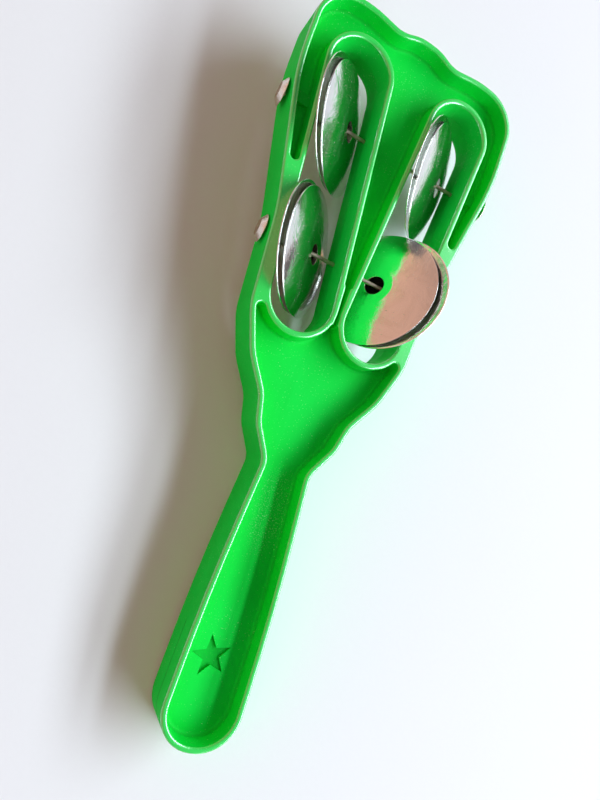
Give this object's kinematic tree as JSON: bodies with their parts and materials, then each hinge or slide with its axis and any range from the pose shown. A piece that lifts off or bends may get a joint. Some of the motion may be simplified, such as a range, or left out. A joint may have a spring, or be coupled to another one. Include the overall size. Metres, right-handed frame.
{
  "type": "hand jingle stick",
  "caption": "Plastic hand jingle stick: a flat grip with a wide slotted head, loose domed metal discs in pairs on cross nails that clash when shaken.",
  "frame": {"origin": "middle of the grip, on the centre line and halfway through the thickness", "axes": "+X across the stick, +Y from the grip to the head, +Z out of the upper face"},
  "size_m": [0.0735, 0.206, 0.031],
  "materials": {
    "green_plastic": "glossy moulded plastic",
    "nail_steel": "plated steel, slightly dulled",
    "disc_nickel": "bright nickel with fine pitting"
  },
  "bodies": {
    "stick": {"body": "green_plastic", "nail_upper_left": "nail_steel", "nail_upper_right": "nail_steel", "nail_lower_left": "nail_steel", "nail_lower_right": "nail_steel"},
    "disc_upper_left_outer": {"disc_upper_left_outer": "disc_nickel"},
    "disc_upper_left_inner": {"disc_upper_left_inner": "disc_nickel"},
    "disc_lower_left_outer": {"disc_lower_left_outer": "disc_nickel"},
    "disc_lower_left_inner": {"disc_lower_left_inner": "disc_nickel"},
    "disc_upper_right_outer": {"disc_upper_right_outer": "disc_nickel"},
    "disc_upper_right_inner": {"disc_upper_right_inner": "disc_nickel"},
    "disc_lower_right_outer": {"disc_lower_right_outer": "disc_nickel"},
    "disc_lower_right_inner": {"disc_lower_right_inner": "disc_nickel"}
  },
  "joints": [
    {"name": "upper_left_outer_tilt", "type": "hinge", "parent": "stick", "child": "disc_upper_left_outer", "pos_m": [-0.01806, 0.13335, -0.0006], "axis": [-0.0924, 0.9957, 0], "range_deg": [0, 70]},
    {"name": "upper_left_inner_tilt", "type": "hinge", "parent": "stick", "child": "disc_upper_left_inner", "pos_m": [-0.01318, 0.1338, -0.0006], "axis": [-0.0924, 0.9957, 0], "range_deg": [0, 70]},
    {"name": "lower_left_outer_tilt", "type": "hinge", "parent": "stick", "child": "disc_lower_left_outer", "pos_m": [-0.01571, 0.09504, -0.0006], "axis": [-0.0924, 0.9957, 0], "range_deg": [0, 70]},
    {"name": "lower_left_inner_tilt", "type": "hinge", "parent": "stick", "child": "disc_lower_left_inner", "pos_m": [-0.01083, 0.09549, -0.0006], "axis": [-0.0924, 0.9957, 0], "range_deg": [0, 70]},
    {"name": "upper_right_outer_tilt", "type": "hinge", "parent": "stick", "child": "disc_upper_right_outer", "pos_m": [0.01965, 0.1332, -0.0006], "axis": [0.0924, 0.9957, 0], "range_deg": [0, 70]},
    {"name": "upper_right_inner_tilt", "type": "hinge", "parent": "stick", "child": "disc_upper_right_inner", "pos_m": [0.01478, 0.13365, -0.0006], "axis": [0.0924, 0.9957, 0], "range_deg": [0, 70]},
    {"name": "lower_right_outer_tilt", "type": "hinge", "parent": "stick", "child": "disc_lower_right_outer", "pos_m": [0.01571, 0.09504, -0.0006], "axis": [-0.0924, -0.9957, 0], "range_deg": [0, 70]},
    {"name": "lower_right_inner_tilt", "type": "hinge", "parent": "stick", "child": "disc_lower_right_inner", "pos_m": [0.01083, 0.09549, -0.0006], "axis": [-0.0924, -0.9957, 0], "range_deg": [0, 70]}
  ],
  "couplings": [
    {"joint": "upper_left_inner_tilt", "follows": "upper_left_outer_tilt", "ratio": 1},
    {"joint": "lower_left_inner_tilt", "follows": "lower_left_outer_tilt", "ratio": 1},
    {"joint": "upper_right_inner_tilt", "follows": "upper_right_outer_tilt", "ratio": 1},
    {"joint": "lower_right_inner_tilt", "follows": "lower_right_outer_tilt", "ratio": 1}
  ]
}
